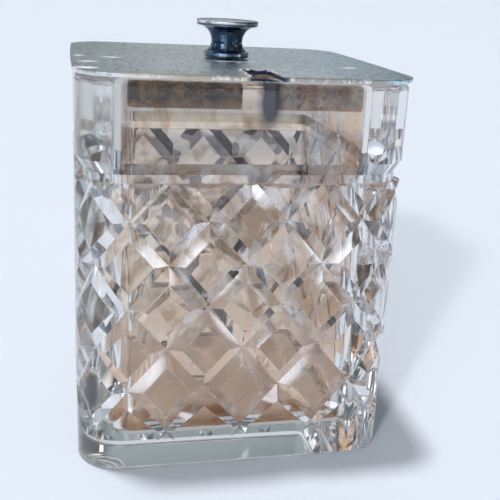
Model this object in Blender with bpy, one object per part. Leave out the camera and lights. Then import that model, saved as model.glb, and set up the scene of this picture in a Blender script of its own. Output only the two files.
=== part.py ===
"""A square cut-glass mustard pot with a loose silver-plated lid and a turned knob.

Lengths are in metres. The pot stands on z = 0 with its axis on z, and its spoon slot opens towards -y.
"""

import math

import bpy
import bmesh
from mathutils import Matrix, Vector

# Jar body
JAR_WIDTH = 0.060
JAR_HEIGHT = 0.0722
JAR_CORNER_RADIUS = 0.0085
WALL_THICKNESS = 0.0072
FLOOR_THICKNESS = 0.0042
CAVITY_CORNER_RADIUS = 0.0030
CAVITY_FLOOR_RADIUS = 0.0020
FOOT_EDGE_RADIUS = 0.0006
RIM_OUTER_RADIUS = 0.0013
RIM_INNER_RADIUS = 0.0008

# Mitre cutting: one groove all round, and a lattice of slanted grooves below it
RING_BELOW_RIM = 0.0164
RING_BEVEL = 0.0022
RING_DEPTH = 0.00135
RING_RISE = 0.0003
RING_DROP = 0.0012
RING_LOWER_BEVEL = 0.0005
MITRE_HALF_WIDTH = 0.0021
MITRE_DEPTH = 0.00115
LATTICE_ABOVE_BASE = 0.0075
LATTICE_COLUMNS = 16
LATTICE_ROWS = 3
WHEEL_RADIUS = 0.042
MITRE_TAIL = 0.0025

# Lid plate
LID_OVERHANG = 0.0003
LID_THICKNESS = 0.0008
LID_CORNER_RADIUS = 0.0083
LID_SIDE_BOW = 0.00023
LID_EDGE_RADIUS = 0.0002

# Spoon slot, cut in from the lid's front edge
SLOT_LENGTH = 0.0101
SLOT_FRONT_WIDTH = 0.0055
SLOT_BACK_WIDTH = 0.0050
SLOT_CORNER_RADIUS = 0.0008
SLOT_OFFSET = 0.00165

# Locating flange under the lid, a strip bent to the shape of the mouth
FLANGE_DEPTH = 0.0054
FLANGE_THICKNESS = 0.0008
FLANGE_SIDE_CLEARANCE = 0.0010
FLANGE_EDGE_RADIUS = 0.0002
FLANGE_GAP = 0.0060

# Knob, turned like a cotton reel
KNOB_HEIGHT = 0.0073
KNOB_BASE_RADIUS = 0.00445
KNOB_BASE_EDGE = 0.0010
KNOB_NECK_RADIUS = 0.0031
KNOB_NECK_HEIGHT = 0.0031
KNOB_RIM_RADIUS = 0.0061
KNOB_RIM_THICKNESS = 0.00125
KNOB_EDGE_RADIUS = 0.0003
KNOB_CROWN = 0.00015

# Threaded stud, washer and nut that hold the knob
STUD_RADIUS = 0.0012
STUD_IN_KNOB = 0.0040
STUD_CHAMFER = 0.0003
STUD_BELOW_NUT = 0.0004
WASHER_RADIUS = 0.0030
WASHER_THICKNESS = 0.0005
NUT_ACROSS_FLATS = 0.0046
NUT_HEIGHT = 0.0018
NUT_CHAMFER = 0.0004

# Gaps between neighbours, how far a cutter reaches past what it cuts, and what counts as one point
SEAT_GAP = 0.0003
STUD_CLEARANCE = 0.0003
OVERRUN = 0.0006
MERGE_DISTANCE = 0.000001

# How finely round shapes are drawn
CORNER_STEPS = 12
SIDE_STEPS = 8
FILLET_STEPS = 4
COVE_STEPS = 7
TURN_STEPS = 36
RUNOUT_STEPS = 5
SHARP_ANGLE = math.radians(26)

# Sizes that follow from those above
JAR_HALF = JAR_WIDTH / 2
CAVITY_HALF = JAR_HALF - WALL_THICKNESS
FLAT_LENGTH = 2 * (JAR_HALF - JAR_CORNER_RADIUS)
ARC_LENGTH = math.pi / 2 * JAR_CORNER_RADIUS
SIDE_LENGTH = FLAT_LENGTH + ARC_LENGTH
GIRTH = 4 * SIDE_LENGTH
RING_HEIGHT = JAR_HEIGHT - RING_BELOW_RIM
LATTICE_PITCH = GIRTH / LATTICE_COLUMNS
LATTICE_ROW = (RING_HEIGHT - LATTICE_ABOVE_BASE) / (2 * LATTICE_ROWS)
RING_LOW = RING_HEIGHT - RING_DROP
RING_HIGH = RING_HEIGHT + RING_RISE
RING_SLOPE = RING_DEPTH / RING_LOWER_BEVEL
MITRE_RUN = LATTICE_PITCH / 2 / LATTICE_ROW
MITRE_RISE = 1 / math.hypot(1, MITRE_RUN)
MITRE_SLOPE = MITRE_DEPTH / MITRE_HALF_WIDTH * MITRE_RISE
RUNOUT_LENGTH = math.sqrt(2 * WHEEL_RADIUS * MITRE_DEPTH)
TAIL_END = LATTICE_ABOVE_BASE - MITRE_TAIL * MITRE_RISE
RUNOUT_RISE = RUNOUT_LENGTH * MITRE_RISE
LID_HALF = JAR_HALF + LID_OVERHANG
LID_BOTTOM = JAR_HEIGHT + SEAT_GAP
LID_TOP = LID_BOTTOM + LID_THICKNESS
SLOT_BACK = SLOT_LENGTH - LID_HALF
KNOB_BOTTOM = LID_TOP + SEAT_GAP
KNOB_TOP = KNOB_BOTTOM + KNOB_HEIGHT
FLANGE_HALF = CAVITY_HALF - FLANGE_SIDE_CLEARANCE
FLANGE_CORNER_RADIUS = CAVITY_CORNER_RADIUS - FLANGE_SIDE_CLEARANCE
FLANGE_TOP = LID_BOTTOM - SEAT_GAP
FLANGE_BOTTOM = FLANGE_TOP - FLANGE_DEPTH
HOLE_RADIUS = STUD_RADIUS + STUD_CLEARANCE
WASHER_TOP = LID_BOTTOM - SEAT_GAP
NUT_TOP = WASHER_TOP - WASHER_THICKNESS - SEAT_GAP
NUT_BOTTOM = NUT_TOP - NUT_HEIGHT
STUD_BOTTOM = NUT_BOTTOM - STUD_BELOW_NUT
STUD_TOP = KNOB_BOTTOM + STUD_IN_KNOB


def quarter_turn(x, y, quarters):
    """The point (x, y) turned about z by some quarter turns."""
    for _ in range(quarters % 4):
        x, y = -y, x
    return x, y


def rounded_square(half, radius, z, bow=0.0):
    """Ring of a square with rounded corners and, with bow, slightly swelling sides."""
    ring = []
    flat = half - radius
    for side in range(4):
        for step in range(CORNER_STEPS + 1):
            angle = math.pi / 2 * step / CORNER_STEPS
            x = flat + radius * math.sin(angle)
            y = -flat - radius * math.cos(angle)
            ring.append(Vector((*quarter_turn(x, y, side), z)))
        for step in range(1, SIDE_STEPS if bow else 1):
            share = 2 * step / SIDE_STEPS - 1
            x = half + bow * (1 - share * share)
            ring.append(Vector((*quarter_turn(x, flat * share, side), z)))
    return ring


def turned_ring(radius, z):
    """Ring about the z axis. The radius may be a function of the angle."""
    ring = []
    for step in range(TURN_STEPS):
        angle = math.tau * step / TURN_STEPS
        reach = radius(angle) if callable(radius) else radius
        ring.append(Vector((reach * math.cos(angle), reach * math.sin(angle), z)))
    return ring


def quarter_round():
    """Shares of an edge's radius, inwards and along, from the face before the edge to the one after."""
    angles = [math.pi / 2 * step / FILLET_STEPS for step in range(FILLET_STEPS + 1)]
    return [(1 - math.sin(angle), 1 - math.cos(angle)) for angle in angles]


def bridge(mesh, rings):
    """Faces from each ring to the next. Rings are loops of points or of corners already in the mesh."""
    loops = [[mesh.verts.new(point) for point in ring] for ring in rings]
    for low, high in zip(loops, loops[1:]):
        for i, corner in enumerate(low):
            j = (i + 1) % len(low)
            mesh.faces.new((corner, low[j], high[j], high[i]))
    return loops


def loft(rings, closed=False):
    """A mesh through rings of equal length, with flat ends, or closed from the last to the first."""
    mesh = bmesh.new()
    loops = bridge(mesh, rings + rings[:1] if closed else rings)
    if closed:
        bmesh.ops.weld_verts(mesh, targetmap=dict(zip(loops[-1], loops[0])))
    else:
        mesh.faces.new(loops[0])
        mesh.faces.new(loops[-1])
    bmesh.ops.recalc_face_normals(mesh, faces=mesh.faces)
    return mesh


def prism(outline, bottom, top):
    """A mesh with the same outline from bottom to top."""
    return loft([[Vector((x, y, z)) for x, y in outline] for z in (bottom, top)])


def add_object(name, bodies, material=None):
    """A named object from one or more closed bodies."""
    data = bpy.data.meshes.new(name)
    joined = bmesh.new()
    for body in bodies:
        body.to_mesh(data)
        joined.from_mesh(data)
        body.free()
    joined.to_mesh(data)
    joined.free()
    shape = bpy.data.objects.new(name, data)
    bpy.context.collection.objects.link(shape)
    if material:
        data.materials.append(material)
    return shape


def cut(shape, cutters):
    """Cuts each cutter out of shape in turn, and removes the cutters."""
    for cutter in cutters:
        modifier = shape.modifiers.new(cutter.name, "BOOLEAN")
        modifier.object = cutter
        modifier.operation = "DIFFERENCE"
    evaluated = shape.evaluated_get(bpy.context.evaluated_depsgraph_get())
    whole = shape.data
    shape.data = bpy.data.meshes.new_from_object(evaluated)
    shape.modifiers.clear()
    bpy.data.meshes.remove(whole)
    shape.data.name = shape.name
    for cutter in cutters:
        bpy.data.objects.remove(cutter)


def shade(shape):
    """Smooth shading that keeps the real edges sharp."""
    shape.data.shade_smooth()
    shape.data.set_sharp_from_angle(angle=SHARP_ANGLE)


def make_material(name, colour, roughness, metallic=0.0, transmission=0.0, ior=1.5):
    """A Principled material."""
    material = bpy.data.materials.new(name)
    material.use_nodes = True
    shader = material.node_tree.nodes["Principled BSDF"]
    shader.inputs["Base Color"].default_value = (*colour, 1.0)
    shader.inputs["Roughness"].default_value = roughness
    shader.inputs["Metallic"].default_value = metallic
    shader.inputs["Transmission Weight"].default_value = transmission
    shader.inputs["IOR"].default_value = ior
    return material


def corner_places():
    """Places along the girth where the rounded corners change direction.

    The girth is measured along the outer wall from the middle of the front, towards +x.
    """
    corners = [side * SIDE_LENGTH + FLAT_LENGTH / 2 for side in range(4)]
    steps = [ARC_LENGTH * step / CORNER_STEPS for step in range(CORNER_STEPS + 1)]
    return [corner + step for corner in corners for step in steps]


def on_wall(along, z, depth):
    """The point at a place along the girth, at height z and some depth into the outer wall."""
    side, rest = divmod((along + FLAT_LENGTH / 2) % GIRTH, SIDE_LENGTH)
    step, share = divmod(max(rest - FLAT_LENGTH, 0.0) / ARC_LENGTH * CORNER_STEPS, 1)
    angles = [math.pi / 2 * turn / CORNER_STEPS for turn in (step, step + 1)]
    out_x = math.sin(angles[0]) * (1 - share) + math.sin(angles[1]) * share
    out_y = math.cos(angles[0]) * (1 - share) + math.cos(angles[1]) * share
    x = min(rest, FLAT_LENGTH) - FLAT_LENGTH / 2 + (JAR_CORNER_RADIUS - depth) * out_x
    y = -FLAT_LENGTH / 2 - (JAR_CORNER_RADIUS - depth) * out_y
    return Vector((*quarter_turn(x, y, int(side)), z))


def area(polygon):
    """Area of a flat polygon of (place, height) points."""
    pairs = zip(polygon, polygon[1:] + polygon[:1])
    return abs(sum(a[0] * b[1] - b[0] * a[1] for a, b in pairs)) / 2


def split(polygon, values):
    """The parts of a convex polygon where a value is below zero and above it.

    The value is given at the polygon's points, and changes evenly between them.
    """
    below, above = [], []
    for i, (point, value) in enumerate(zip(polygon, values)):
        after, next_value = polygon[i - len(polygon) + 1], values[i - len(polygon) + 1]
        if value <= 0:
            below.append(point)
        if value >= 0:
            above.append(point)
        if value * next_value < 0:
            share = value / (value - next_value)
            crossing = tuple(a + (b - a) * share for a, b in zip(point, after))
            below.append(crossing)
            above.append(crossing)
    return below, above


def slices(polygon, axis, places):
    """The parts of a polygon between rising places on one of its axes."""
    parts = []
    for place in places:
        part, polygon = split(polygon, [point[axis] - place for point in polygon])
        parts.append(part)
    parts.append(polygon)
    return [part for part in parts if area(part) > MERGE_DISTANCE**2]


def tail_levels():
    """Heights from the end of the slanted cuts' tails to where the wheel reaches its full depth."""
    return [TAIL_END + RUNOUT_RISE * step / RUNOUT_STEPS for step in range(RUNOUT_STEPS + 1)]


def valley_depth(z):
    """Depth of a slanted cut's valley, which comes out of the glass on the wheel's curve."""
    climbed = min(max((z - TAIL_END) / RUNOUT_RISE, 0.0), 1.0)
    step, share = divmod(climbed * RUNOUT_STEPS, 1)
    left = [RUNOUT_LENGTH * max(1 - level / RUNOUT_STEPS, 0.0) for level in (step, step + 1)]
    depths = [MITRE_DEPTH - length**2 / (2 * WHEEL_RADIUS) for length in left]
    return depths[0] * (1 - share) + depths[1] * share


def cell_slopes(middle, height):
    """Depths, as functions of place and height, of the cuts' sides that can reach into one diamond cell."""

    def mitre_side(right, up):
        def depth(along, z):
            clear = LATTICE_PITCH / 2 - right * (along - middle) - up * MITRE_RUN * (z - height)
            return valley_depth(z) - MITRE_SLOPE * clear

        return depth

    def ring_side(_, z):
        return RING_DEPTH - RING_SLOPE * (RING_LOW - z)

    def uncut(*_):
        return 0.0

    return [uncut, ring_side] + [mitre_side(right, up) for right in (1, -1) for up in (1, -1)]


def facets(polygon, slopes):
    """The parts of a polygon where each slope is the deepest, with its depth added to every point."""
    for slope in slopes:
        part = polygon
        for other in slopes:
            if other is not slope:
                part = split(part, [slope(*point) - other(*point) for point in part])[1]
        if area(part) > MERGE_DISTANCE**2:
            yield [(*point, slope(*point)) for point in part]


def add_face(mesh, points):
    """A face through points given as place, height and depth on the outer wall."""
    mesh.faces.new([mesh.verts.new(on_wall(*point)) for point in points])


def add_lattice(mesh):
    """The cut wall from the tails of the slanted cuts up to the floor of the ring.

    Unrolled, the valleys of the slanted cuts part the wall into diamond cells. In each cell the surface
    is the deepest of the sides of the cuts around it.
    """
    corners = [place + turn * GIRTH for turn in (-1, 0, 1) for place in corner_places()]
    for row in range(-1, 2 * LATTICE_ROWS + 1):
        height = LATTICE_ABOVE_BASE + row * LATTICE_ROW
        for column in range(LATTICE_COLUMNS):
            middle = (column + (row + 1) % 2 / 2) * LATTICE_PITCH
            slopes = cell_slopes(middle, height)
            cell = [(middle - LATTICE_PITCH / 2, height), (middle, height - LATTICE_ROW)]
            cell += [(middle + LATTICE_PITCH / 2, height), (middle, height + LATTICE_ROW)]
            cell = split(cell, [z - RING_LOW for _, z in cell])[0]
            cell = split(cell, [z - TAIL_END for _, z in cell])[1]
            for strip in slices(cell, 1, tail_levels()):
                for part in slices(strip, 0, corners):
                    for facet in facets(part, slopes):
                        add_face(mesh, facet)


def add_band(mesh, low, high, low_places=(), high_places=()):
    """A plain band of the outer wall between two levels, given as height and depth.

    Its edges have a point at each corner place, and at the further places that its neighbours have.
    """
    places = corner_places()
    for start, end in zip(places, places[1:] + [places[0] + GIRTH]):
        lower = [start, *[place for place in low_places if start < place < end], end]
        upper = [start, *[place for place in high_places if start < place < end], end]
        add_face(mesh, [(place, *low) for place in lower] + [(place, *high) for place in upper[::-1]])


def make_jar(material):
    """The cut-glass jar, from its foot up the outside, over the rim and down to the cavity's floor."""
    up, down = quarter_round(), quarter_round()[::-1]
    foot = [(part * FOOT_EDGE_RADIUS, rise * FOOT_EDGE_RADIUS) for part, rise in up]
    rim = [(part * RIM_OUTER_RADIUS, JAR_HEIGHT - rise * RIM_OUTER_RADIUS) for part, rise in down]
    inside = [(-part * RIM_INNER_RADIUS, JAR_HEIGHT - rise * RIM_INNER_RADIUS) for part, rise in up]
    floor = CAVITY_FLOOR_RADIUS
    inside += [(part * floor, FLOOR_THICKNESS + rise * floor) for part, rise in down]

    def outer(inset, z):
        return rounded_square(JAR_HALF - inset, JAR_CORNER_RADIUS - inset, z)

    def inner(inset, z):
        return rounded_square(CAVITY_HALF - inset, CAVITY_CORNER_RADIUS - inset, z)

    columns = [column * LATTICE_PITCH for column in range(2 * LATTICE_COLUMNS)]
    spreads = [MITRE_RUN * rise for rise in (LATTICE_ABOVE_BASE - TAIL_END, RING_DROP)]
    tips, notches = [[place + side * spread for place in columns for side in (-1, 1)] for spread in spreads]
    ring_top = RING_HIGH + RING_BEVEL
    mesh = bmesh.new()
    mesh.faces.new(bridge(mesh, [outer(*level) for level in foot])[0])
    add_band(mesh, (FOOT_EDGE_RADIUS, 0.0), (TAIL_END, 0.0), high_places=tips)
    add_lattice(mesh)
    add_band(mesh, (RING_LOW, RING_DEPTH), (RING_HIGH, RING_DEPTH), low_places=notches)
    add_band(mesh, (RING_HIGH, RING_DEPTH), (ring_top, 0.0))
    upper = [outer(0.0, ring_top)] + [outer(*level) for level in rim] + [inner(*level) for level in inside]
    mesh.faces.new(bridge(mesh, upper)[-1])
    bmesh.ops.remove_doubles(mesh, verts=mesh.verts, dist=MERGE_DISTANCE)
    bmesh.ops.recalc_face_normals(mesh, faces=mesh.faces)
    jar = add_object("glass_jar", [mesh], material)
    shade(jar)
    return jar


def slot_half_width(y):
    """Half the spoon slot's width at y."""
    spread = (SLOT_FRONT_WIDTH - SLOT_BACK_WIDTH) / SLOT_LENGTH
    return (SLOT_BACK_WIDTH + spread * (SLOT_BACK - y)) / 2


def slot_outline():
    """Corners of the spoon slot seen from above, open past the lid's front edge."""
    front = -LID_HALF - LID_SIDE_BOW - OVERRUN
    half = [(slot_half_width(front), front)]
    for part, rise in quarter_round()[::-1]:
        y = SLOT_BACK - rise * SLOT_CORNER_RADIUS
        half.append((slot_half_width(y) - part * SLOT_CORNER_RADIUS, y))
    right = [(SLOT_OFFSET + x, y) for x, y in half]
    left = [(SLOT_OFFSET - x, y) for x, y in half]
    return right + left[::-1]


def make_lid_plate(material):
    """The flat lid with its spoon slot and the hole for the stud."""
    levels = [(part, LID_BOTTOM + rise * LID_EDGE_RADIUS) for part, rise in quarter_round()]
    levels += [(part, LID_TOP - rise * LID_EDGE_RADIUS) for part, rise in quarter_round()[::-1]]
    rings = []
    for part, z in levels:
        inset = part * LID_EDGE_RADIUS
        rings.append(rounded_square(LID_HALF - inset, LID_CORNER_RADIUS - inset, z, LID_SIDE_BOW))
    plate = add_object("lid_plate", [loft(rings)], material)
    bottom, top = LID_BOTTOM - OVERRUN, LID_TOP + OVERRUN
    slot = add_object("slot_cut", [prism(slot_outline(), bottom, top)])
    hole = add_object("stud_hole", [loft([turned_ring(HOLE_RADIUS, z) for z in (bottom, top)])])
    cut(plate, [slot, hole])
    shade(plate)
    return plate


def make_lid_flange(material):
    """The strip under the lid that drops into the jar's mouth, with its ends at the spoon slot."""
    edge = FLANGE_EDGE_RADIUS
    section = [(0.0, FLANGE_TOP), (0.0, FLANGE_BOTTOM + edge), (edge, FLANGE_BOTTOM)]
    section += [(FLANGE_THICKNESS - inset, z) for inset, z in section[::-1]]
    rings = [rounded_square(FLANGE_HALF - inset, FLANGE_CORNER_RADIUS - inset, z) for inset, z in section]
    flange = add_object("lid_flange", [loft(rings, closed=True)], material)
    left, right = SLOT_OFFSET - FLANGE_GAP / 2, SLOT_OFFSET + FLANGE_GAP / 2
    front, back = -FLANGE_HALF - OVERRUN, -FLANGE_HALF + FLANGE_THICKNESS + OVERRUN
    outline = [(left, front), (right, front), (right, back), (left, back)]
    gap = prism(outline, FLANGE_BOTTOM - OVERRUN, FLANGE_TOP + OVERRUN)
    cut(flange, [add_object("slot_gap", [gap])])
    shade(flange)
    return flange


def cove_quarter(radius, height):
    """A quarter of an oval, from the edge of the knob's base or rim in to the middle of its neck."""
    neck = KNOB_BOTTOM + KNOB_NECK_HEIGHT
    quarter = []
    for step in range(COVE_STEPS + 1):
        angle = math.pi / 2 * step / COVE_STEPS
        inward, along = math.sin(angle), math.cos(angle)
        quarter.append((radius + (KNOB_NECK_RADIUS - radius) * inward, neck + (height - neck) * along))
    return quarter


def knob_profile():
    """Radius and height of the knob, from its blind bore round the base, cove and rim to the crown."""
    edge = KNOB_EDGE_RADIUS
    rim = KNOB_TOP - KNOB_RIM_THICKNESS
    crown = KNOB_RIM_RADIUS - edge
    profile = [(HOLE_RADIUS, STUD_TOP + SEAT_GAP), (HOLE_RADIUS, KNOB_BOTTOM)]
    for part, rise in quarter_round():
        profile.append((KNOB_BASE_RADIUS - part * edge, KNOB_BOTTOM + rise * edge))
    lower = cove_quarter(KNOB_BASE_RADIUS, KNOB_BOTTOM + KNOB_BASE_EDGE)
    upper = cove_quarter(crown, rim)
    upper.reverse()
    profile += lower + upper[1:]
    for part, rise in quarter_round()[1:]:
        profile.append((KNOB_RIM_RADIUS - part * edge, rim + rise * edge))
    for part, rise in quarter_round()[::-1]:
        profile.append((KNOB_RIM_RADIUS - part * edge, KNOB_TOP - KNOB_CROWN - rise * edge))
    for step in range(1, FILLET_STEPS):
        share = 1 - step / FILLET_STEPS
        profile.append((crown * share, KNOB_TOP - KNOB_CROWN * share * share))
    return profile


def turned(name, profile, material, closed=False):
    """A turned piece from its radii and heights."""
    rings = [turned_ring(radius, z) for radius, z in profile]
    piece = add_object(name, [loft(rings, closed)], material)
    shade(piece)
    return piece


def make_knob(material):
    """The turned knob, with a blind bore for the stud."""
    return turned("lid_knob", knob_profile(), material)


def make_stud(material):
    """The stud that runs from the nut up into the knob."""
    tip = STUD_RADIUS - STUD_CHAMFER
    profile = [(tip, STUD_BOTTOM), (STUD_RADIUS, STUD_BOTTOM + STUD_CHAMFER)]
    profile += [(STUD_RADIUS, STUD_TOP - STUD_CHAMFER), (tip, STUD_TOP)]
    return turned("knob_stud", profile, material)


def make_washer(material):
    """The flat washer under the lid."""
    bottom = WASHER_TOP - WASHER_THICKNESS
    profile = [(HOLE_RADIUS, bottom), (WASHER_RADIUS, bottom)]
    profile += [(WASHER_RADIUS, WASHER_TOP), (HOLE_RADIUS, WASHER_TOP)]
    return turned("knob_washer", profile, material, closed=True)


def make_nut(material):
    """The hexagon nut under the washer, with turned chamfers at both faces."""

    def hexagon(limit):
        def reach(angle):
            turn = (angle + math.pi / 6) % (math.pi / 3) - math.pi / 6
            return min(NUT_ACROSS_FLATS / 2 / math.cos(turn), limit)

        return reach

    corner = NUT_ACROSS_FLATS / math.sqrt(3)
    levels = [(corner - NUT_CHAMFER, 0.0), (corner, NUT_CHAMFER)]
    profile = [(HOLE_RADIUS, NUT_BOTTOM)]
    profile += [(hexagon(limit), NUT_BOTTOM + rise) for limit, rise in levels]
    profile += [(hexagon(limit), NUT_TOP - rise) for limit, rise in levels[::-1]]
    profile.append((HOLE_RADIUS, NUT_TOP))
    return turned("knob_nut", profile, material, closed=True)


def join_to(empty, pieces):
    """Makes pieces children of an empty, with their origins at the empty's place."""
    for piece in pieces:
        piece.data.transform(Matrix.Translation(-empty.location))
        piece.parent = empty


def main():
    for old in list(bpy.data.objects):
        bpy.data.objects.remove(old)
    glass = make_material("clear_glass", (0.98, 0.99, 0.99), 0.02, transmission=1.0, ior=1.52)
    plate = make_material("silver_plate", (0.66, 0.69, 0.68), 0.32, metallic=1.0)
    tarnish = make_material("tarnished_silver", (0.20, 0.16, 0.12), 0.45, metallic=0.8)
    dark = make_material("dark_silver", (0.16, 0.18, 0.22), 0.12, metallic=1.0)
    brass = make_material("brass", (0.72, 0.56, 0.28), 0.35, metallic=1.0)
    make_jar(glass)
    lid = bpy.data.objects.new("lid", None)
    lid.location = (0.0, 0.0, LID_BOTTOM)
    bpy.context.collection.objects.link(lid)
    fastening = [make_stud(brass), make_washer(brass), make_nut(brass)]
    join_to(lid, [make_lid_plate(plate), make_lid_flange(tarnish), make_knob(dark), *fastening])


main()
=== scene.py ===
"""The looks of a square cut-glass mustard pot with a loose silver-plated lid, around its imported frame."""

import math

import bpy
import bmesh
from mathutils import Matrix, Vector


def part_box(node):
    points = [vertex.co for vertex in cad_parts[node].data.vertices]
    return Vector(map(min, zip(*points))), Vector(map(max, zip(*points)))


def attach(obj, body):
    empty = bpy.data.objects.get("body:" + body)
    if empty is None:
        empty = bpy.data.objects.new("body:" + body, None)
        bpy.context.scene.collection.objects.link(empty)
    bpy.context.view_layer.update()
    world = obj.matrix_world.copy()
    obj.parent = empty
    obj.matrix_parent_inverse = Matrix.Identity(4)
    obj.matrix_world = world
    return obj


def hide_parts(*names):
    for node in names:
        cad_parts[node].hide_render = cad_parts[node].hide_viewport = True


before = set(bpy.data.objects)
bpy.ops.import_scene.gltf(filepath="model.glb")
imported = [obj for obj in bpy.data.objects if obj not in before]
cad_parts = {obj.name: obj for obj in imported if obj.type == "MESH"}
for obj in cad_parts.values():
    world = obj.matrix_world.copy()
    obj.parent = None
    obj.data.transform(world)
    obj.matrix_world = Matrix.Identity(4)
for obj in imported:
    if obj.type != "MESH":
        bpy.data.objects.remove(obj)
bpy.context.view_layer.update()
jar_low, jar_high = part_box("glass_jar")
_, plate_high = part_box("lid_plate")
flange_low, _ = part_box("lid_flange")
knob_low, knob_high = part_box("lid_knob")

# Jar body
JAR_HALF = (jar_high.x - jar_low.x) / 2
JAR_HEIGHT = jar_high.z
JAR_CORNER_RADIUS = 0.0085
WALL_THICKNESS = 0.0072
FLOOR_THICKNESS = 0.0042
CAVITY_CORNER_RADIUS = 0.0030
CAVITY_FLOOR_RADIUS = 0.0020
FOOT_EDGE_RADIUS = 0.0006
RIM_OUTER_RADIUS = 0.0013
RIM_INNER_RADIUS = 0.0008

# Mitre cutting
RING_BELOW_RIM = 0.0164
RING_BEVEL = 0.0022
RING_DEPTH = 0.00135
RING_RISE = 0.0003
RING_DROP = 0.0012
RING_LOWER_BEVEL = 0.0005
MITRE_HALF_WIDTH = 0.0021
MITRE_DEPTH = 0.00115
LATTICE_ABOVE_BASE = 0.0075
LATTICE_COLUMNS = 16
LATTICE_ROWS = 3
WHEEL_RADIUS = 0.042
MITRE_TAIL = 0.0025
RIDGE_WEAR = 0.000015

# How finely round shapes are drawn, and what counts as one point or as a sharp edge
CORNER_STEPS = 24
FILLET_STEPS = 8
RUNOUT_STEPS = 10
MERGE_DISTANCE = 0.0000005
SHARP_ANGLE = math.radians(15)

# The glass's surfaces, by their materials' places on the jar
PLAIN, INSIDE, WORN, CUT = range(4)

# Sizes that follow
CAVITY_HALF = JAR_HALF - WALL_THICKNESS
FLAT_LENGTH = 2 * (JAR_HALF - JAR_CORNER_RADIUS)
ARC_LENGTH = math.pi / 2 * JAR_CORNER_RADIUS
SIDE_LENGTH = FLAT_LENGTH + ARC_LENGTH
GIRTH = 4 * SIDE_LENGTH
RING_HEIGHT = JAR_HEIGHT - RING_BELOW_RIM
LATTICE_PITCH = GIRTH / LATTICE_COLUMNS
LATTICE_ROW = (RING_HEIGHT - LATTICE_ABOVE_BASE) / (2 * LATTICE_ROWS)
RING_LOW = RING_HEIGHT - RING_DROP
RING_HIGH = RING_HEIGHT + RING_RISE
RING_SLOPE = RING_DEPTH / RING_LOWER_BEVEL
MITRE_RUN = LATTICE_PITCH / 2 / LATTICE_ROW
MITRE_RISE = 1 / math.hypot(1, MITRE_RUN)
MITRE_SLOPE = MITRE_DEPTH / MITRE_HALF_WIDTH * MITRE_RISE
RUNOUT_LENGTH = math.sqrt(2 * WHEEL_RADIUS * MITRE_DEPTH)
RUNOUT_RISE = RUNOUT_LENGTH * MITRE_RISE
TAIL_END = LATTICE_ABOVE_BASE - MITRE_TAIL * MITRE_RISE

# The middle of the lid's spoon slot, to the right of the knob
SLOT_MIDDLE = 0.00165

# The dim room's own light, and a factor on all the light that the world gives
ROOM = (0.13, 0.14, 0.15)
WORLD_STRENGTH = 0.73

# The darker strip at the room's foot, and the elevations in degrees where it ends
SKIRTING = (0.06, 0.07, 0.10)
SKIRTING_FADE = (3, 6)

# What the camera sees beyond the floor's far edge
BACKDROP = (0.776, 0.840, 0.940)

# The floor, and the pale glow that the glass sees in it
FLOOR_SIZE = 30
FLOOR_DROP = 0.0002
FLOOR_GLOW = (0.78, 0.80, 0.84)
FLOOR_GLOW_SHARE = 0.5

# How much the glass bends light
GLASS_INDEX = 1.52

# The haze added to the roughness of the jar's left side, and where along x it grows
LEFT_HAZE = 0.12
LEFT_HAZE_SPAN = (-0.0255, -0.0298)

# What the glass, and its warm-tinted inner faces, leave of the light that passes through them
GLASS_SHADE = (0.22, 0.23, 0.25)
INNER_SHADE = (0.88, 0.86, 0.84)

# The camera, as fitted to the photograph
CAMERA_PLACE = (-0.0309, -0.16466, 0.08871)
CAMERA_YAW = math.radians(13.39)
CAMERA_PITCH = math.radians(16.84)
CAMERA_ROLL = math.radians(3.18)
CAMERA_LENS = 59.12
CAMERA_SENSOR = 36
CAMERA_NEAREST = 0.01
CAMERA_SHIFT = (-0.0138, -0.0434)


def quarter_turn(x, y, quarters):
    """The point (x, y) turned about z by some quarter turns."""
    for _ in range(quarters % 4):
        x, y = -y, x
    return x, y


def rounded_square(half, radius, z):
    """Ring of a square with rounded corners."""
    ring = []
    flat = half - radius
    for side in range(4):
        for step in range(CORNER_STEPS + 1):
            angle = math.pi / 2 * step / CORNER_STEPS
            x = flat + radius * math.sin(angle)
            y = -flat - radius * math.cos(angle)
            ring.append(Vector((*quarter_turn(x, y, side), z)))
    return ring


def quarter_round():
    """Shares of an edge's radius, inwards and along, from the face before the edge to the one after."""
    angles = [math.pi / 2 * step / FILLET_STEPS for step in range(FILLET_STEPS + 1)]
    return [(1 - math.sin(angle), 1 - math.cos(angle)) for angle in angles]


def bridge(mesh, rings, material_index=0):
    """Faces from each ring of points to the next."""
    loops = [[mesh.verts.new(point) for point in ring] for ring in rings]
    for low, high in zip(loops, loops[1:]):
        for i, corner in enumerate(low):
            j = (i + 1) % len(low)
            mesh.faces.new((corner, low[j], high[j], high[i])).material_index = material_index
    return loops


def corner_places():
    """Places along the girth where the rounded corners change direction."""
    corners = [side * SIDE_LENGTH + FLAT_LENGTH / 2 for side in range(4)]
    steps = [ARC_LENGTH * step / CORNER_STEPS for step in range(CORNER_STEPS + 1)]
    return [corner + step for corner in corners for step in steps]


def on_wall(along, z, depth):
    """The point at a place along the girth, at height z and some depth into the outer wall."""
    side, rest = divmod((along + FLAT_LENGTH / 2) % GIRTH, SIDE_LENGTH)
    step, share = divmod(max(rest - FLAT_LENGTH, 0.0) / ARC_LENGTH * CORNER_STEPS, 1)
    angles = [math.pi / 2 * turn / CORNER_STEPS for turn in (step, step + 1)]
    out_x = math.sin(angles[0]) * (1 - share) + math.sin(angles[1]) * share
    out_y = math.cos(angles[0]) * (1 - share) + math.cos(angles[1]) * share
    x = min(rest, FLAT_LENGTH) - FLAT_LENGTH / 2 + (JAR_CORNER_RADIUS - depth) * out_x
    y = -FLAT_LENGTH / 2 - (JAR_CORNER_RADIUS - depth) * out_y
    return Vector((*quarter_turn(x, y, int(side)), z))


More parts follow.
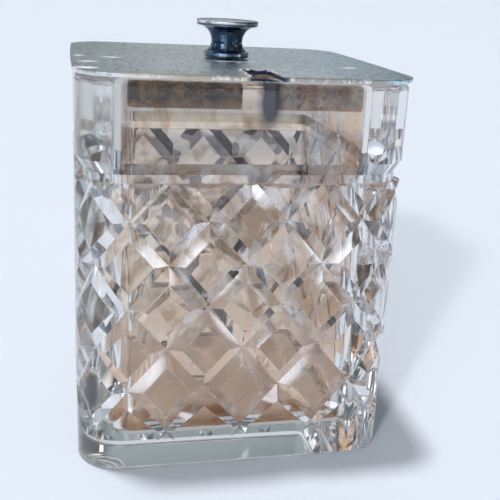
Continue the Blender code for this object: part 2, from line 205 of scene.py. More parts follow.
def area(polygon):
    """Area of a flat polygon of (place, height) points."""
    pairs = zip(polygon, polygon[1:] + polygon[:1])
    return abs(sum(a[0] * b[1] - b[0] * a[1] for a, b in pairs)) / 2


def split(polygon, values):
    """The parts of a convex polygon where a value is below zero and above it."""
    below, above = [], []
    for i, (point, value) in enumerate(zip(polygon, values)):
        after, next_value = polygon[i - len(polygon) + 1], values[i - len(polygon) + 1]
        if value <= 0:
            below.append(point)
        if value >= 0:
            above.append(point)
        if value * next_value < 0:
            share = value / (value - next_value)
            crossing = tuple(a + (b - a) * share for a, b in zip(point, after))
            below.append(crossing)
            above.append(crossing)
    return below, above


def slices(polygon, axis, places):
    """The parts of a polygon between rising places on one of its axes."""
    parts = []
    for place in places:
        part, polygon = split(polygon, [point[axis] - place for point in polygon])
        parts.append(part)
    parts.append(polygon)
    return [part for part in parts if area(part) > MERGE_DISTANCE**2]


def valley_depth(z):
    """Depth of a slanted cut's valley, which comes out of the glass on the wheel's curve."""
    climbed = min(max((z - TAIL_END) / RUNOUT_RISE, 0.0), 1.0)
    step, share = divmod(climbed * RUNOUT_STEPS, 1)
    left = [RUNOUT_LENGTH * max(1 - level / RUNOUT_STEPS, 0.0) for level in (step, step + 1)]
    depths = [MITRE_DEPTH - length**2 / (2 * WHEEL_RADIUS) for length in left]
    return depths[0] * (1 - share) + depths[1] * share


def cell_slopes(middle, height):
    """Depths of the cuts' sides that can reach into one diamond cell."""

    def mitre_side(right, up):
        def depth(along, z):
            clear = LATTICE_PITCH / 2 - right * (along - middle) - up * MITRE_RUN * (z - height)
            return valley_depth(z) - MITRE_SLOPE * clear

        return depth

    def ring_side(_, z):
        return RING_DEPTH - RING_SLOPE * (RING_LOW - z)

    def uncut(*_):
        return 0.0

    def worn(first, second):
        return lambda along, z: (first(along, z) + second(along, z)) / 2 + RIDGE_WEAR

    sides = [mitre_side(right, up) for right, up in ((1, 1), (-1, 1), (-1, -1), (1, -1))]
    ridges = [worn(uncut, side) for side in sides]
    ridges += [worn(side, after) for side, after in zip(sides, sides[1:] + sides[:1])]
    return [uncut, ring_side] + sides, ridges


def facets(polygon, sides, ridges):
    """The parts of a polygon where each slope is the deepest, with its depth added to every point.

    With each comes the kind of its surface: plain, a cut's side, or the worn edge along a ridge.
    """
    slopes = sides + ridges
    for slope in slopes:
        part = polygon
        for other in slopes:
            if other is not slope and part:
                part = split(part, [slope(*point) - other(*point) for point in part])[1]
        if part and area(part) > MERGE_DISTANCE**2:
            kind = WORN if slope in ridges else PLAIN if slope is sides[0] else CUT
            yield [(*point, slope(*point)) for point in part], kind


def add_face(mesh, points, material_index):
    """A face through points given as place, height and depth on the outer wall."""
    face = mesh.faces.new([mesh.verts.new(on_wall(*point)) for point in points])
    face.material_index = material_index


def add_lattice(mesh):
    """The cut wall from the tails of the slanted cuts up to the floor of the ring."""
    corners = [place + turn * GIRTH for turn in (-1, 0, 1) for place in corner_places()]
    levels = [TAIL_END + RUNOUT_RISE * step / RUNOUT_STEPS for step in range(RUNOUT_STEPS + 1)]
    for row in range(-1, 2 * LATTICE_ROWS + 1):
        height = LATTICE_ABOVE_BASE + row * LATTICE_ROW
        for column in range(LATTICE_COLUMNS):
            middle = (column + (row + 1) % 2 / 2) * LATTICE_PITCH
            slopes = cell_slopes(middle, height)
            cell = [(middle - LATTICE_PITCH / 2, height), (middle, height - LATTICE_ROW)]
            cell += [(middle + LATTICE_PITCH / 2, height), (middle, height + LATTICE_ROW)]
            cell = split(cell, [z - RING_LOW for _, z in cell])[0]
            cell = split(cell, [z - TAIL_END for _, z in cell])[1]
            for strip in slices(cell, 1, levels):
                for part in slices(strip, 0, corners):
                    for facet, kind in facets(part, *slopes):
                        add_face(mesh, facet, kind)


def add_band(mesh, low, high, low_places=(), high_places=(), kind=PLAIN):
    """A band of the outer wall between two levels, given as height and depth."""
    places = corner_places()
    for start, end in zip(places, places[1:] + [places[0] + GIRTH]):
        lower = [start, *[place for place in low_places if start < place < end], end]
        upper = [start, *[place for place in high_places if start < place < end], end]
        add_face(mesh, [(place, *low) for place in lower] + [(place, *high) for place in upper[::-1]], kind)


def finish_mesh(name, mesh, materials, body, slot, *replaced):
    """A shaded object from a mesh, riding on its body in place of CAD nodes."""
    bmesh.ops.remove_doubles(mesh, verts=mesh.verts, dist=MERGE_DISTANCE)
    bmesh.ops.recalc_face_normals(mesh, faces=mesh.faces)
    data = bpy.data.meshes.new(name)
    mesh.to_mesh(data)
    mesh.free()
    piece = bpy.data.objects.new(name, data)
    bpy.context.collection.objects.link(piece)
    for material in materials:
        data.materials.append(material)
    data.shade_smooth()
    data.set_sharp_from_angle(angle=SHARP_ANGLE)
    normals = piece.modifiers.new("even_normals", "WEIGHTED_NORMAL")
    normals.keep_sharp = True
    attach(piece, body)
    if replaced:
        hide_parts(*replaced)
    return piece


def make_jar(*materials):
    """The cut-glass jar, with a finer surface than its solid."""
    up, down = quarter_round(), quarter_round()[::-1]
    foot = [(part * FOOT_EDGE_RADIUS, rise * FOOT_EDGE_RADIUS) for part, rise in up]
    rim = [(part * RIM_OUTER_RADIUS, JAR_HEIGHT - rise * RIM_OUTER_RADIUS) for part, rise in down]
    mouth = [(-part * RIM_INNER_RADIUS, JAR_HEIGHT - rise * RIM_INNER_RADIUS) for part, rise in up]
    floor = CAVITY_FLOOR_RADIUS
    cavity = [(part * floor, FLOOR_THICKNESS + rise * floor) for part, rise in down]

    def outer(inset, z):
        return rounded_square(JAR_HALF - inset, JAR_CORNER_RADIUS - inset, z)

    def inner(inset, z):
        return rounded_square(CAVITY_HALF - inset, CAVITY_CORNER_RADIUS - inset, z)

    columns = [column * LATTICE_PITCH for column in range(2 * LATTICE_COLUMNS)]
    spreads = [MITRE_RUN * rise for rise in (LATTICE_ABOVE_BASE - TAIL_END, RING_DROP)]
    tips, notches = [[place + side * spread for place in columns for side in (-1, 1)] for spread in spreads]
    ring_top = RING_HIGH + RING_BEVEL
    mesh = bmesh.new()
    mesh.faces.new(bridge(mesh, [outer(*level) for level in foot])[0])
    add_band(mesh, (FOOT_EDGE_RADIUS, 0.0), (TAIL_END, 0.0), high_places=tips)
    add_lattice(mesh)
    add_band(mesh, (RING_LOW, RING_DEPTH), (RING_HIGH, RING_DEPTH), low_places=notches, kind=CUT)
    add_band(mesh, (RING_HIGH, RING_DEPTH), (ring_top, 0.0), kind=CUT)
    bridge(mesh, [outer(0.0, ring_top)] + [outer(*level) for level in rim] + [inner(*level) for level in mouth])
    inside = [inner(*mouth[-1])] + [inner(*level) for level in cavity]
    mesh.faces.new(bridge(mesh, inside, INSIDE)[-1]).material_index = INSIDE
    return finish_mesh("jar_cut_glass", mesh, materials, "jar", "clear_glass", "glass_jar")


class Nodes:
    """The node tree of a material or a world, and short ways to add to it."""

    def __init__(self, name, owners=bpy.data.materials, coordinates="Object"):
        self.owner = owners.new(name)
        self.owner.use_nodes = True
        self.tree = self.owner.node_tree
        self.shader = self.tree.nodes.get("Principled BSDF")
        self.place = self.add("ShaderNodeTexCoord").outputs[coordinates]

    def add(self, kind, **settings):
        node = self.tree.nodes.new(kind)
        for key, value in settings.items():
            setattr(node, key, value)
        return node

    def link(self, source, target):
        """Links an output, or sets a plain value."""
        if isinstance(source, bpy.types.NodeSocket):
            self.tree.links.new(source, target)
        else:
            target.default_value = source

    def noise(self, scale, detail=3.0, roughness=0.5, distortion=0.0, stretch=(1, 1, 1)):
        mapping = self.add("ShaderNodeMapping")
        mapping.inputs["Scale"].default_value = stretch
        self.link(self.place, mapping.inputs["Vector"])
        node = self.add("ShaderNodeTexNoise")
        self.link(mapping.outputs["Vector"], node.inputs["Vector"])
        for key, value in (("Scale", scale), ("Detail", detail), ("Roughness", roughness), ("Distortion", distortion)):
            node.inputs[key].default_value = value
        return node.outputs["Fac"]

    def ramp(self, source, *stops):
        """A colour ramp with (place, colour) stops. A plain number is a grey."""
        node = self.add("ShaderNodeValToRGB")
        self.link(source, node.inputs["Fac"])
        elements = node.color_ramp.elements
        while len(elements) < len(stops):
            elements.new(0.5)
        for element, (at, colour) in zip(elements, stops):
            element.position = at
            element.color = (colour, colour, colour, 1) if isinstance(colour, (int, float)) else (*colour, 1)
        return node.outputs["Color"]

    def mix(self, share, first, second):
        node = self.add("ShaderNodeMix", data_type="RGBA")
        self.link(share, node.inputs["Factor"])
        for value, target in ((first, node.inputs["A"]), (second, node.inputs["B"])):
            self.link((*value, 1) if isinstance(value, tuple) else value, target)
        return node.outputs["Result"]

    def math(self, operation, first, second=0.0, clamp=False):
        node = self.add("ShaderNodeMath", operation=operation, use_clamp=clamp)
        self.link(first, node.inputs[0])
        self.link(second, node.inputs[1])
        return node.outputs[0]

    def vector(self, operation, first, second=0.0):
        node = self.add("ShaderNodeVectorMath", operation=operation)
        self.link(first, node.inputs[0])
        self.link(second, node.inputs["Scale"] if operation == "SCALE" else node.inputs[1])
        return node.outputs["Value" if operation == "DOT_PRODUCT" else "Vector"]

    def axis(self, name):
        node = self.add("ShaderNodeSeparateXYZ")
        self.link(self.place, node.inputs[0])
        return node.outputs[name]

    def spot(self, place, size, soft=0.6):
        """1 inside an ellipse of this half size round a place, fading to 0 at its edge."""
        mapping = self.add("ShaderNodeMapping", vector_type="TEXTURE")
        mapping.inputs["Location"].default_value = place
        mapping.inputs["Scale"].default_value = size
        self.link(self.place, mapping.inputs["Vector"])
        length = self.add("ShaderNodeVectorMath", operation="LENGTH")
        self.link(mapping.outputs["Vector"], length.inputs[0])
        return self.band(length.outputs["Value"], 1.0, 1.0 - soft)

    def band(self, source, low, high, kind="LINEAR"):
        """0 below low, rising to 1 at high, or the other way round where low is above high."""
        node = self.add("ShaderNodeMapRange", interpolation_type=kind)
        self.link(source, node.inputs["Value"])
        node.inputs["From Min"].default_value = low
        node.inputs["From Max"].default_value = high
        return node.outputs["Result"]

    def near(self, source, middle, outer, inner):
        """1 within a distance inner of a middle value, fading to 0 at outer."""
        return self.band(self.math("ABSOLUTE", self.math("SUBTRACT", source, middle)), outer, inner)

    def times(self, first, *others):
        """The product of some outputs or plain values."""
        for other in others:
            first = self.math("MULTIPLY", first, other)
        return first

    def ray(self, kind):
        """1 for rays of one kind, and 0 for the rest."""
        return self.add("ShaderNodeLightPath").outputs[kind]

    def blend(self, share, shader):
        """Shows a share of another shader in place of the main one."""
        swap = self.add("ShaderNodeMixShader")
        self.link(share, swap.inputs["Fac"])
        self.link(self.shader.outputs["BSDF"], swap.inputs[1])
        self.link(shader, swap.inputs[2])
        self.link(swap.outputs["Shader"], self.tree.nodes["Material Output"].inputs["Surface"])
        return self.owner

    def bump(self, height, strength, distance):
        node = self.add("ShaderNodeBump")
        self.link(height, node.inputs["Height"])
        node.inputs["Strength"].default_value = strength
        node.inputs["Distance"].default_value = distance
        self.link(node.outputs["Normal"], self.shader.inputs["Normal"])

    def set(self, **values):
        """Sets the shader's inputs, with _ for a space."""
        for key, value in values.items():
            value = (*value, 1) if isinstance(value, tuple) and len(value) == 3 else value
            self.link(value, self.shader.inputs[key.replace("_", " ")])
        return self.owner


def see_through(nodes, tint):
    """Lets light through glass to what is behind it, which would otherwise lie in black shadow."""
    clear = nodes.add("ShaderNodeBsdfTransparent")
    clear.inputs["Color"].default_value = (*tint, 1)
    return nodes.blend(nodes.ray("Is Shadow Ray"), clear.outputs["BSDF"])


def hazed(nodes, roughness):
    """A roughness with the haze of the jar's left side added."""
    haze = nodes.times(nodes.band(nodes.axis("X"), *LEFT_HAZE_SPAN), LEFT_HAZE)
    return nodes.math("ADD", roughness, haze)


def outer_glass():
    """The jar's plain faces, greyer at the left, clearer at the right and the foot, with wipe marks.

    A dark spot of painted shade lies on the rim under the slot.
    """
    nodes = Nodes("cut_glass")
    wipes = nodes.ramp(nodes.noise(260, 4, 0.6, stretch=(1, 1, 0.35)), (0.55, 0.0), (0.8, 0.05))
    clear = nodes.mix(nodes.noise(40, 2), (0.78, 0.78, 0.765), (0.87, 0.87, 0.855))
    # painted shade: the glass is greyer towards the left side
    clear = nodes.mix(nodes.band(nodes.axis("X"), -0.023, -0.029), clear, (0.52, 0.53, 0.51))
    # painted light: the glass is clearer and bluer along the right edge
    clear = nodes.mix(nodes.band(nodes.axis("X"), 0.021, 0.027), clear, (0.90, 0.93, 0.97))
    clear = nodes.mix(nodes.band(nodes.axis("Z"), 0.0060, 0.0030), clear, (0.94, 0.94, 0.92))
    # painted shade: a near-black spot on the rim under the slot
    dark = nodes.spot((SLOT_MIDDLE, -0.0262, JAR_HEIGHT), (0.0036, 0.0050, 0.0012), soft=0.5)
    nodes.set(
        Base_Color=nodes.mix(dark, clear, (0.008, 0.010, 0.022)),
        Roughness=hazed(nodes, wipes),
        Transmission_Weight=1.0,
        IOR=GLASS_INDEX,
    )
    return see_through(nodes, GLASS_SHADE)


def worn_glass():
    """The narrow worn facets along the cuts' ridges, which catch the light."""
    nodes = Nodes("worn_ridges")
    wear_and_sheen = nodes.noise(180, 3, 0.6)
    nodes.set(
        Base_Color=nodes.mix(wear_and_sheen, (0.74, 0.72, 0.70), (0.92, 0.94, 0.97)),
        Roughness=nodes.ramp(wear_and_sheen, (0.35, 0.12), (0.65, 0.35)),
        Transmission_Weight=nodes.ramp(wear_and_sheen, (0.4, 0.95), (0.65, 0.7)),
        IOR=GLASS_INDEX,
    )
    return see_through(nodes, GLASS_SHADE)


def polished_cuts():
    """The cuts' sides, clearer than the flats, with streaks left by the wheel.

    The far wall's ring has a painted tan reflection, and its lattice dark patches of painted shade.
    """
    nodes = Nodes("polished_cuts")
    streaks = nodes.noise(320, 4, 0.65, 0.3, (1, 1, 0.45))
    back = nodes.band(nodes.axis("Y"), 0.020, 0.024)
    clear = nodes.mix(nodes.ramp(nodes.noise(60, 2), (0.40, 0), (0.60, 1)), (0.70, 0.74, 0.80), (0.98, 0.99, 1.0))
    z = nodes.axis("Z")
    # painted reflection: the far wall's ring is tan
    ring = nodes.times(back, nodes.band(z, RING_LOW - 0.0002, RING_LOW))
    clear = nodes.mix(ring, clear, (1.0, 0.86, 0.70))
    lattice = nodes.math("SUBTRACT", nodes.times(back, nodes.band(z, 0.020, 0.036)), ring)
    # painted shade: dark patches on the far wall's lattice
    dark_patches = nodes.times(nodes.ramp(nodes.noise(170, 1), (0.49, 1), (0.53, 0)), lattice)
    nodes.set(
        Base_Color=nodes.mix(dark_patches, clear, (0.08, 0.08, 0.11)),
        Roughness=hazed(nodes, nodes.ramp(streaks, (0.5, 0.0), (0.75, 0.12))),
        Transmission_Weight=nodes.ramp(streaks, (0.45, 1.0), (0.70, 0.72)),
        IOR=GLASS_INDEX,
    )
    return see_through(nodes, GLASS_SHADE)


def inner_glass():
    """The cavity's walls and floor, tinted warm as a painted reflection of warm surroundings.

    It has painted shade above the ring, and a painted amber reflection along the floor's front edge. A dark
    spot of painted shade and a warm spot of painted reflection are on the front wall under the slot.
    """
    nodes = Nodes("tinted_inner_glass")
    x, y, z = (nodes.axis(name) for name in "XYZ")
    # painted reflection: a mottled warm tint that stands for warm surroundings seen through the glass
    inner_tint = nodes.mix(nodes.noise(90, 3, 0.6), (0.80, 0.65, 0.53), (0.94, 0.83, 0.72))
    # painted light: paler and cooler towards the right
    inner_tint = nodes.mix(nodes.band(x, 0.008, 0.020), inner_tint, (0.93, 0.90, 0.94))
    # painted shade: darker grey above the ring, paler higher up
    head = nodes.mix(nodes.noise(90, 3, 0.6), (0.35, 0.32, 0.32), (0.52, 0.49, 0.49))
    head = nodes.mix(nodes.band(z, 0.0615, 0.0635), head, (0.76, 0.74, 0.73))
    # painted reflection: a warm spot on the front wall under the slot
    warm = nodes.spot((0.0, -CAVITY_HALF, 0.0693), (0.0022, 0.0030, 0.0050), soft=0.3)
    head = nodes.mix(warm, head, (0.98, 0.80, 0.65))
    inner_tint = nodes.mix(nodes.band(z, RING_LOW, RING_HIGH + 0.004), inner_tint, head)
    # painted reflection: brown patches
    patches = nodes.ramp(nodes.noise(110, 4, 0.55, 1.2, (1, 1, 0.8)), (0.49, 0), (0.57, 0.95))
    brown = nodes.mix(nodes.noise(80, 2), (0.14, 0.08, 0.05), (0.66, 0.42, 0.25))
    inner_tint = nodes.mix(patches, inner_tint, brown)
    # painted reflection: a stronger warm tint low down
    low = nodes.band(z, FLOOR_THICKNESS + 0.024, FLOOR_THICKNESS + 0.004)
    inner_tint = nodes.mix(low, inner_tint, (0.95, 0.65, 0.47))
    # painted reflection: an amber band along the floor's front edge
    amber = nodes.ramp(nodes.noise(200, 4, 0.7, 0, (1, 1, 3)), (0.4, 0), (0.6, 1))
    amber = nodes.mix(amber, (0.34, 0.12, 0.03), (0.70, 0.40, 0.20))
    front = nodes.band(y, -CAVITY_HALF + 0.0060, -CAVITY_HALF + 0.0045)
    foot = nodes.times(nodes.band(z, FLOOR_THICKNESS + 0.0050, FLOOR_THICKNESS + 0.0032), front)
    # painted reflection: tan streaks near the right wall
    tan = nodes.ramp(nodes.noise(260, 2, 0.5, 0, (1, 1, 0.10)), (0.47, 0), (0.54, 1))
    tan = nodes.times(tan, nodes.band(x, CAVITY_HALF - 0.0016, CAVITY_HALF - 0.0008))
    inner_tint = nodes.mix(tan, inner_tint, (0.88, 0.52, 0.30))
    # painted reflection: a dark and pale mottle on the far wall below the ring
    far = nodes.times(nodes.band(y, CAVITY_HALF - 0.0020, CAVITY_HALF - 0.0010), nodes.band(z, 0.042, 0.046))
    far_mottle = nodes.ramp(nodes.noise(150, 2, 0.5), (0.42, (0.42, 0.28, 0.20)), (0.52, (0.98, 0.84, 0.72)))
    inner_tint = nodes.mix(nodes.times(far, nodes.band(z, RING_HIGH + 0.003, RING_HIGH)), inner_tint, far_mottle)
    # painted shade: a near-black spot on the front wall under the slot
    dark = nodes.spot((0.0036, -CAVITY_HALF, 0.0685), (0.0028, 0.0030, 0.0068), soft=0.5)
    nodes.set(
        Base_Color=nodes.mix(dark, nodes.mix(foot, inner_tint, amber), (0.008, 0.008, 0.020)),
        Roughness=nodes.ramp(nodes.noise(300, 4), (0.55, 0.0), (0.8, 0.06)),
        Transmission_Weight=1.0,
        IOR=GLASS_INDEX,
    )
    return see_through(nodes, INNER_SHADE)


GLINTS = (
    # place and half size of the painted highlights on the lid, the first a line in front of the knob
    ((0.0005, -0.0066), (0.0062, 0.0007)),
    ((0.0220, -0.0117), (0.0022, 0.0012)),
    ((-0.0290, -0.0039), (0.0013, 0.0014)),
    ((-0.0229, -0.0054), (0.0026, 0.0011)),
    ((-0.0275, -0.0142), (0.0024, 0.0013)),
    ((-0.0280, -0.0240), (0.0026, 0.0022)),
)


def satin_plate():
    """The lid's silver plate, pitted and dull in places, with worn, ragged edges and painted light and shade."""
    nodes = Nodes("satin_silver")
    x, y, z = (nodes.axis(name) for name in "XYZ")
    mottle = nodes.noise(420, 6, 0.7)
    cloud = nodes.ramp(nodes.noise(60, 4, 0.6), (0.35, 0), (0.7, 1))
    left = nodes.mix(cloud, (0.80, 0.86, 0.87), (0.94, 0.98, 0.98))
    # painted reflection: a blue-green tint towards the right side
    right = nodes.mix(cloud, (0.43, 0.70, 0.82), (0.57, 0.83, 0.93))
    colour = nodes.mix(nodes.band(x, -0.012, 0.030), left, right)
    pits = nodes.ramp(nodes.noise(1500, 3, 0.6, 0, (1, 0.35, 1)), (0.50, 0), (0.58, 1))
    colour = nodes.mix(nodes.times(pits, 0.7), colour, (1.0, 1.0, 1.0))
    specks = nodes.ramp(nodes.noise(1100, 3, 0.6, 0, (1, 0.35, 1)), (0.40, 1), (0.47, 0))
    colour = nodes.mix(nodes.times(specks, 0.55), colour, (0.36, 0.40, 0.41))
    dull = nodes.ramp(nodes.noise(130, 5, 0.65, 0.5, (0.25, 1.6, 1)), (0.52, 0), (0.66, 0.4))
    colour = nodes.mix(dull, colour, (0.64, 0.64, 0.60))
    glints = None
    for place, size in GLINTS:
        glint = nodes.spot((*place, plate_high.z), (*size, 0.002))
        glints = nodes.math("MAXIMUM", glints, glint) if glints else glint
    colour = nodes.mix(glints, colour, (1.0, 1.0, 1.0))
    front = nodes.band(y, -0.0300, -0.0303)
    # the worn front edge, with a painted highlight along it, white at the left fading to grey at the right
    worn = nodes.ramp(
        nodes.band(x, -0.030, 0.030),
        (0.0, (1, 1, 1)),
        (0.14, (1.0, 0.95, 0.85)),
        (0.30, (0.66, 0.58, 0.47)),
        (1.0, (0.44, 0.47, 0.46)),
    )
    chips = nodes.ramp(nodes.noise(700, 4, 0.7, 0, (1, 0.4, 0.4)), (0.52, 0), (0.60, 1))
    colour = nodes.mix(front, colour, nodes.mix(chips, worn, (1.0, 0.97, 0.90)))
    slot = nodes.times(nodes.near(x, SLOT_MIDDLE, 0.0038, 0.0030), nodes.band(y, -0.0188, -0.0196))
    flecks = nodes.ramp(nodes.noise(1500, 4, 0.8), (0.47, 0), (0.53, 1))
    # painted highlights and painted shade in flecks along the slot's ragged edge
    ragged = nodes.mix(flecks, (0.07, 0.08, 0.13), (1.0, 1.0, 1.0))
    colour = nodes.mix(slot, colour, ragged)
    # painted shade: dark walls inside the slot
    inside = nodes.times(slot, nodes.band(z, plate_high.z - 0.0001, plate_high.z - 0.0002))
    colour = nodes.mix(inside, colour, (0.03, 0.04, 0.10))
    ragged_edge = nodes.times(slot, flecks)
    nodes.bump(nodes.math("ADD", nodes.noise(900, 5, 0.7), ragged_edge), 0.3, 0.0002)
    bare = nodes.math("MAXIMUM", nodes.times(front, 0.15), ragged_edge)
    return nodes.set(
        Base_Color=colour,
        Metallic=nodes.math("SUBTRACT", nodes.math("SUBTRACT", 1.0, glints), bare, clamp=True),
        Roughness=nodes.ramp(mottle, (0.3, 0.42), (0.7, 0.30)),
    )


def tarnished_strip():
    """The flange's heavy brown tarnish, turning pinkish towards one side and more orange along its lower edge."""
    nodes = Nodes("tarnish")
    grain = nodes.noise(460, 7, 0.78, 0.7)
    mottle = nodes.ramp(grain, (0.46, 0), (0.60, 1))
    shine = nodes.ramp(grain, (0.38, 0), (0.52, 1))
    blotch = nodes.ramp(nodes.noise(200, 4, 0.6, 0.8), (0.47, 0), (0.55, 1))
    pinkish_side = nodes.band(nodes.axis("X"), 0.000, 0.006)
    low = nodes.band(nodes.axis("Z"), flange_low.z + 0.0016, flange_low.z)
    dark = nodes.mix(mottle, (0.002, 0.001, 0.001), (0.60, 0.35, 0.17))
    dark = nodes.mix(nodes.times(blotch, 0.25), dark, (0.50, 0.30, 0.17))
    dark = nodes.mix(nodes.times(low, 0.6), dark, (0.80, 0.50, 0.28))
    pink = nodes.mix(shine, (0.08, 0.035, 0.025), (1.0, 0.84, 0.74))
    pink = nodes.mix(nodes.times(blotch, 0.5), pink, (0.42, 0.36, 0.42))
    pink = nodes.mix(nodes.times(low, mottle), pink, (1.0, 0.52, 0.30))
    nodes.bump(mottle, 0.4, 0.0003)
    return nodes.set(Base_Color=nodes.mix(pinkish_side, dark, pink), Metallic=0.6, Roughness=0.48)


def dark_plate():
    """The knob's dark polished plate, with painted highlights on top, on its edges and as a white crescent."""
    nodes = Nodes("dark_silver")
    x, y, z = (nodes.axis(name) for name in "XYZ")
    cloud = nodes.noise(220, 4, 0.6)
    # painted reflection: bluish at the knob's left
    colour = nodes.mix(cloud, (0.06, 0.105, 0.185), (0.155, 0.24, 0.36))
    # painted shade: darker and greyer towards the right
    right = nodes.mix(cloud, (0.03, 0.045, 0.05), (0.10, 0.12, 0.13))
    colour = nodes.mix(nodes.band(x, -0.002, 0.004), colour, right)
    wear_and_sheen = nodes.ramp(nodes.noise(500, 4, 0.7, 0, (1, 1, 3)), (0.38, 0.2), (0.55, 1))
    # painted reflection: lighter on top
    top = nodes.band(z, knob_high.z - 0.00035, knob_high.z - 0.00015)
    colour = nodes.mix(top, colour, nodes.mix(cloud, (0.32, 0.40, 0.48), (0.54, 0.64, 0.74)))
    # painted highlight: a white crescent on the rim's front left
    rim = nodes.near(z, knob_high.z - 0.00045, 0.00035, 0.00015)
    crescent = nodes.times(rim, nodes.band(y, 0.001, -0.003), nodes.band(x, 0.003, 0.000), wear_and_sheen)
    colour = nodes.mix(crescent, colour, (1.0, 1.0, 1.0))
    # painted highlight: a cream line under the rim
    under = nodes.near(z, knob_high.z - 0.00125, 0.00025, 0.0001)
    colour = nodes.mix(nodes.times(under, wear_and_sheen), colour, (0.85, 0.78, 0.66))
    # painted highlight: a pale blue line round the foot
    foot = nodes.near(z, knob_low.z + 0.0006, 0.0003, 0.0001)
    colour = nodes.mix(nodes.times(foot, wear_and_sheen), colour, (0.45, 0.55, 0.70))
    nodes.bump(nodes.noise(500, 3), 0.1, 0.0001)
    return nodes.set(
        Base_Color=colour,
        Metallic=nodes.math("SUBTRACT", 1.0, nodes.times(crescent, 0.4)),
        Roughness=nodes.ramp(cloud, (0.3, 0.10), (0.7, 0.2)),
    )


def machined_brass():
    """Brass of the stud, washer and nut."""
    nodes = Nodes("brass")
    cloud = nodes.noise(500, 4, 0.6)
    return nodes.set(
        Base_Color=nodes.mix(cloud, (0.42, 0.30, 0.13), (0.66, 0.50, 0.25)),
        Metallic=1.0,
        Roughness=nodes.ramp(cloud, (0.3, 0.3), (0.7, 0.45)),
    )


def dress(node, material):
    """Gives a CAD node that stays in view its material."""
    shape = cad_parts[node]
    shape.data.materials.clear()
    shape.data.materials.append(material)


def make_floor():
    """A wide pale floor, which shows in part as a plain glow to rays that come through the glass."""
    bpy.ops.mesh.primitive_plane_add(size=FLOOR_SIZE)
    floor = bpy.context.object
    floor.name = "floor"
    floor.location.z = -FLOOR_DROP
    nodes = Nodes("pale_floor")
    colour = nodes.mix(nodes.noise(3), (0.748, 0.803, 0.883), (0.760, 0.817, 0.897))
    nodes.set(Base_Color=colour, Roughness=0.9)
    pale = nodes.add("ShaderNodeEmission")
    pale.inputs["Color"].default_value = (*FLOOR_GLOW, 1)
    share = nodes.times(nodes.ray("Is Transmission Ray"), FLOOR_GLOW_SHARE)
    floor.data.materials.append(nodes.blend(share, pale.outputs["Emission"]))


PANELS = (
    # azimuth from the back to the right, elevation, inner and outer radius, strength, colour
    (-142, 30, 6, 24, 1.9, (1.0, 0.99, 0.97)),
    (0, 78, 10, 34, 0.3, (1.0, 1.0, 1.0)),
    (-32, 12, 6, 20, 0.9, (0.84, 0.94, 1.08)),
    (7, 23, 8, 18, 0.38, (0.80, 1.0, 1.09)),
    (14, 7, 5, 14, 0.55, (1.0, 0.96, 0.92)),
    (-25, 8, 0, 9, 1.0, (0.95, 0.97, 1.15)),
    (-12, 41, 3, 7, 1.7, (0.98, 0.98, 1.08)),
    (11, 43, 3, 6, 1.5, (1.0, 0.96, 0.90)),
    (48, 21, 2, 6, 0.8, (0.35, 0.85, 1.0)),
    (-80, 14, 6, 20, 0.7, (0.70, 0.88, 1.12)),
)

SMALL_LIGHTS = (
    # azimuth and elevation, where the front's cut facets reflect them
    (-150, 46),
    (-128, 38),
    (-156, 17),
    (-152, 10),
    (-146, 16),
    (-143, 8),
    (-139, 22),
    (-161, 7),
    (-164, 13),
    (112, 17),
    (118, 11),
    (122, 16),
    (126, 8),
    (131, 13),
    (136, 6),
)

# Inner and outer radius, strength and colour of each small light
SMALL_LIGHT = (0.5, 2.2, 16.0, (0.86, 0.95, 1.12))

LAMPS = (
    # name, energy, softness, azimuth that the light travels in, and its slope
    ("left_lamp", 1.15, 5, 36, 28),
    ("top_lamp", 1.85, 5, 126, 81.5),
)


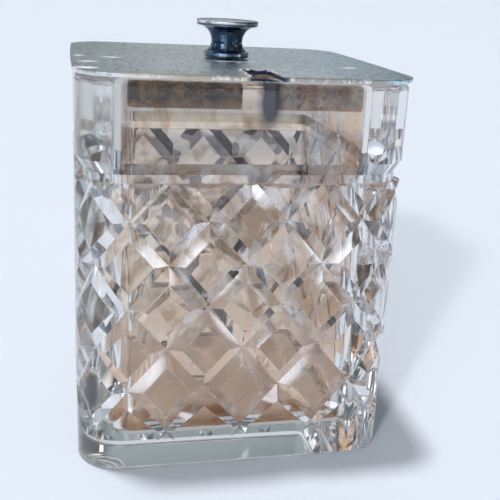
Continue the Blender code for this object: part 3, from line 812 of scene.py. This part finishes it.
def make_light():
    """A soft studio: a dim room with bright panels and many small lights, and two lamps for the shadow."""
    nodes = Nodes("studio", bpy.data.worlds, "Generated")
    total = ROOM
    small = tuple((*direction, *SMALL_LIGHT) for direction in SMALL_LIGHTS)
    for azimuth, elevation, inner, outer, strength, colour in PANELS + small:
        turn, lift = math.radians(azimuth), math.radians(elevation)
        aim = (math.sin(turn) * math.cos(lift), math.cos(turn) * math.cos(lift), math.sin(lift))
        nearness = nodes.vector("DOT_PRODUCT", nodes.place, aim)
        edge = nodes.band(nearness, math.cos(math.radians(outer)), math.cos(math.radians(inner)), "SMOOTHSTEP")
        panel = tuple(channel * strength for channel in colour)
        total = nodes.vector("ADD", nodes.vector("SCALE", panel, edge), total)
    glow = nodes.mix(nodes.noise(3, 1), (0.78, 0.90, 1.20), (1.15, 1.0, 0.86))
    lights = nodes.ramp(nodes.noise(12, 2), (0.63, 0), (0.69, 1))
    total = nodes.vector("ADD", nodes.vector("SCALE", glow, nodes.times(lights, 2.4)), total)
    fade = [math.sin(math.radians(elevation)) for elevation in SKIRTING_FADE]
    above = nodes.band(nodes.axis("Z"), *fade, "SMOOTHSTEP")
    room = nodes.vector("SCALE", nodes.mix(above, SKIRTING, total), WORLD_STRENGTH)
    seen = nodes.mix(nodes.ray("Is Camera Ray"), room, BACKDROP)
    nodes.link(seen, nodes.tree.nodes["Background"].inputs["Color"])
    bpy.context.scene.world = nodes.owner
    for name, energy, softness, azimuth, slope in LAMPS:
        lamp = bpy.data.lights.new(name, "SUN")
        lamp.energy = energy
        lamp.angle = math.radians(softness)
        holder = bpy.data.objects.new(name, lamp)
        holder.visible_glossy = False
        holder.visible_transmission = False
        bpy.context.collection.objects.link(holder)
        turn = Matrix.Rotation(math.radians(-azimuth), 4, "Z")
        holder.matrix_world = turn @ Matrix.Rotation(math.radians(90 - slope), 4, "X")


def make_camera():
    """The camera at the photograph's angle."""
    camera = bpy.data.objects.new("camera", bpy.data.cameras.new("camera"))
    bpy.context.collection.objects.link(camera)
    camera.data.lens = CAMERA_LENS
    camera.data.sensor_width = CAMERA_SENSOR
    camera.data.shift_x, camera.data.shift_y = CAMERA_SHIFT
    camera.data.clip_start = CAMERA_NEAREST
    turn = Matrix.Rotation(-CAMERA_YAW, 4, "Z") @ Matrix.Rotation(math.pi / 2 - CAMERA_PITCH, 4, "X")
    camera.matrix_world = Matrix.Translation(CAMERA_PLACE) @ turn @ Matrix.Rotation(CAMERA_ROLL, 4, "Z")
    bpy.context.scene.camera = camera


make_camera()
make_floor()
make_light()
make_jar(outer_glass(), inner_glass(), worn_glass(), polished_cuts())
dress("lid_plate", satin_plate())
dress("lid_flange", tarnished_strip())
dress("lid_knob", dark_plate())
brass = machined_brass()
for node in ("knob_stud", "knob_washer", "knob_nut"):
    dress(node, brass)
bpy.context.scene.view_settings.view_transform = "Standard"
bpy.context.scene.cycles.max_bounces = 32
bpy.context.scene.cycles.glossy_bounces = 24
bpy.context.scene.cycles.transmission_bounces = 24
